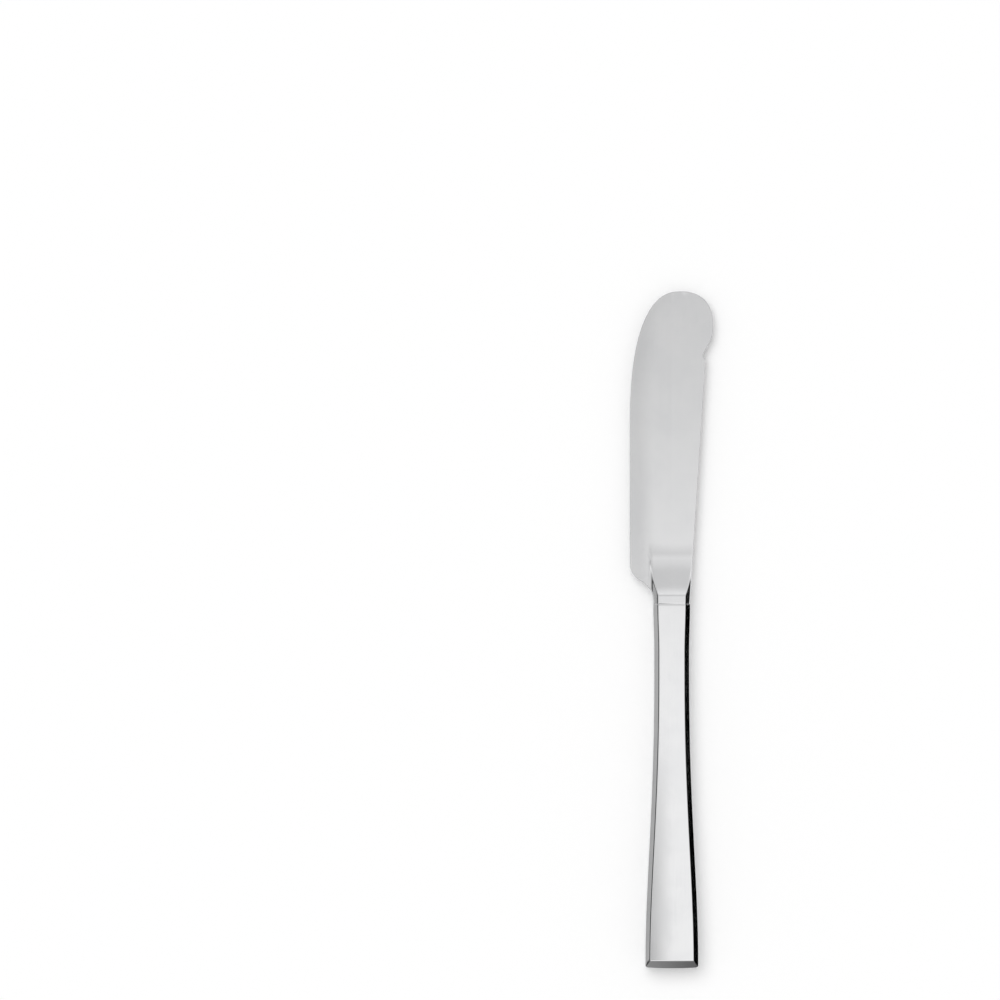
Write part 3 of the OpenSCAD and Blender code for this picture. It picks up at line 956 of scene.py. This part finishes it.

# %% [markdown]
# A mirror in an all-white room looks like white paper. So the knife's reflections are
# painted with glowing sheets that only mirrors see: a black one on the right, so that the
# right bevel turns black, a grey one with a dark line above it on the left, darker ones
# towards the butt and the tip, and large soft ones overhead that paint shade on the faces.
# Each is a painted reflection, a sheet that glows with a plain tone though it is no lamp,
# is seen by mirror rays alone, and fades out at its soft borders.
# %% Painted reflections: sheets that only mirrors see
def only_mirrored(sheet):
    """Hides a sheet from all rays but those off a mirror."""
    sheet.visible_camera = sheet.visible_diffuse = sheet.visible_shadow = False
    sheet.visible_transmission = sheet.visible_volume_scatter = False


def glowing_tree(mesh):
    """The nodes of a new material on the mesh, without a shader until glow() gives it one."""
    material, tree, shader = new_finish(mesh.name, 0.0)
    tree.nodes.remove(shader)
    mesh.materials.append(material)
    return tree


def glow(tree, colour, cover):
    """Light of a colour where cover is 1, and nothing where it is 0."""
    blend = node(tree, "MixShader", Fac=cover)
    connect(blend.inputs[1], node(tree, "BsdfTransparent").outputs[0])
    connect(blend.inputs[2], node(tree, "Emission", Color=colour).outputs[0])
    fill(tree.nodes["Material Output"], Surface=blend.outputs[0])


# %% Flat painted reflection cards
all_along = (0.0, 1.0)


def painted_reflection_card(name, corner, along_u, along_v, tones, soft, turn_at=all_along):
    """A painted reflection: a sheet from a corner along two directions, glowing with a tone that runs
    from the first to the second between two places on u, and fading over the four soft widths at u = 0,
    u = 1, v = 0 and v = 1."""
    u, v = np.array([0.0, 1.0, 1.0, 0.0]), np.array([0.0, 0.0, 1.0, 1.0])
    points = np.array(corner) + u[:, None] * np.array(along_u) + v[:, None] * np.array(along_v)
    mesh = plain_mesh(name, points, [(0, 1, 2, 3)])
    mesh.uv_layers.new(name="painted_reflection_card").data.foreach_set("uv", np.column_stack([u, v]).ravel())
    only_mirrored(placed(name, mesh))
    tree = glowing_tree(mesh)
    place = node(tree, "UVMap", {"uv_map": "painted_reflection_card"}).outputs[0]
    axes = node(tree, "SeparateXYZ", Vector=place).outputs
    far = [math_of(tree, "SUBTRACT", 1.0, axes[k]) for k in (0, 1)]
    cover = 1.0
    for value, width in zip((axes[0], far[0], axes[1], far[1]), soft):
        if width:
            cover = math_of(tree, "MULTIPLY", cover, spread(tree, value, 0.0, width))
    turned = spread(tree, axes[0], *turn_at)
    glow(tree, two_tone(tree, turned, [tones[0]] * 3, [tones[1]] * 3), cover)
    print("painted_reflection_card", name, "tones", tones)


# %% Painted reflection cards in their places
card_away, black_away, card_reach = 0.09, 0.05, 0.26
card_foot, line_foot, ceiling = -0.001, 0.0145, 0.6
long_y, long_x = (0, 2 * card_reach, 0), (2 * card_reach, 0, 0)
top_fade, short_fade, line_fade = (0, 0, 0, 0.45), (0, 0, 0, 0.1), (0, 0, 0.12, 0.4)
end_card_y = knife_l / 2 + card_away
# painted reflections low around the knife: black on the right, grey with a dark line on the left, darker at
# butt and tip
for name, corner, along_u, height, tones, soft, turn_at in (
    ("right", (black_away, -card_reach, card_foot), long_y, 0.024, (0.001, 0.001), top_fade, all_along),
    ("left", (-card_away, -card_reach, card_foot), long_y, 0.0165, (0.42, 0.54), short_fade, all_along),
    ("left_dark", (-card_away, -card_reach, line_foot), long_y, 0.022, (0.04, 0.06), line_fade, all_along),
    ("butt", (-card_reach, -end_card_y, card_foot), long_x, 0.085, (0.30, 0.12), top_fade, (0.47, 0.54)),
    ("tip", (-card_reach, end_card_y, card_foot), long_x, 0.030, (0.20, 0.20), top_fade, all_along),
):
    painted_reflection_card("painted_reflection_" + name, corner, along_u, (0, 0, height), tones, soft, turn_at)
# painted reflections overhead, which paint soft shade across the faces
for name, left, near, width, length, tones, soft in (
    ("left", -0.45, -0.5, 0.45, 1.0, (0.5, 0.6), (0.15, 0.42, 0.2, 0.3)),
    ("butt", -0.24, -0.36, 0.265, 0.35, (0.40, 0.41), (0.3, 0.155, 0.3, 0.4)),
    ("tip", -0.35, -0.05, 0.7, 0.5, (0.68, 0.76), (0.3, 0.3, 0.4, 0.2)),
):
    painted_reflection_card("painted_reflection_over_" + name, (left, near, ceiling), (width, 0, 0), (0, length, 0), tones, soft)

# %% [markdown]
# A ring of soft grey, a painted reflection that glows though it is no lamp and that only
# mirrors see, stands around the whole table, darkest on the right. From above, nothing of
# it shows but in the rounded edges. From the side the flat faces mirror it, which is what
# makes them look like steel. Its tone is a plain sum of the direction's x and y and of the
# height, and a wave runs around it, painted light and dark bands in the reflection. It
# fades out into the white room above.
# %% Painted reflection ring around the table
ring_r, ring_h, ring_fade_from = 1.1, 1.5, 0.6
ring_tone, ring_to_right, ring_to_tip, ring_up = 0.09, -0.06, 0.06, 0.62
ring_painted_bands, ring_wave, ring_least, ring_sides = 6, 0.14, 0.03, 72


def painted_reflection_ring(name):
    """A wall of faces that glows as a painted reflection: radius times the cosine and sine of the angle, by
    the height.
    """
    angle = np.tile(np.linspace(0, 2 * pi, ring_sides, endpoint=False), 2)
    around = np.arange(2 * ring_sides).reshape(2, -1)
    height = np.repeat([card_foot, ring_h], ring_sides)
    points = np.column_stack([ring_r * np.cos(angle), ring_r * np.sin(angle), height])
    mesh = plain_mesh(name, points, cells(np.column_stack([around, around[:, :1]])))
    only_mirrored(placed(name, mesh))
    tree = glowing_tree(mesh)
    axes = node(tree, "SeparateXYZ", Vector=object_place(tree)).outputs
    # painted bright and dark bands of reflection, a wave around the ring
    turn = math_of(tree, "MULTIPLY", math_of(tree, "ARCTAN2", axes[1], axes[0]), ring_painted_bands)
    wave = node(tree, "Math", {"operation": "SINE"}, Value=turn).outputs[0]
    tone = weighted(tree, ring_tone, (axes[0], ring_to_right / ring_r), (axes[1], ring_to_tip / ring_r),
                    (axes[2], ring_up / ring_r), (wave, ring_wave))
    tone = math_of(tree, "MAXIMUM", tone, ring_least)
    colour = node(tree, "CombineColor", Red=tone, Green=tone, Blue=tone).outputs[0]
    glow(tree, colour, spread(tree, axes[2], ring_fade_from, ring_h, low=1.0, high=0.0))
    print(name, "fades from", round(degrees(atan2(ring_fade_from, ring_r))), "degrees up")


# a painted reflection ring, seen by mirror rays alone
painted_reflection_ring("painted_reflection_ring")

# %% [markdown]
# The photograph looks straight down on the knife, which stands upright in the frame, to
# the right of the middle. A long lens from more than a metre away keeps the sides as
# parallel as in the photograph. The scale and the place come from the photograph's own
# pixels: where the knife's tip, butt and axis lie.
# %% Camera above the knife
frame_px, tip_px, butt_px, axis_px = 1000, 291.0, 969.0, 671.6
camera_height, sensor_w = 1.2, 36
metres_per_px = knife_l / (butt_px - tip_px)
camera_data = bpy.data.cameras.new("camera")
camera_data.sensor_width = sensor_w
camera_data.lens = sensor_w * camera_height / (metres_per_px * frame_px)
camera = placed("camera", camera_data)
camera.location = ((frame_px / 2 - axis_px) * metres_per_px,
                   knife_l / 2 - (frame_px / 2 - tip_px) * metres_per_px,
                   camera_height + butt_t / 2)
bpy.context.scene.camera = camera
bpy.context.scene.view_settings.view_transform = "Standard"
print("lens", round(camera_data.lens, 1), "mm, camera at", [round(v, 4) for v in camera.location])
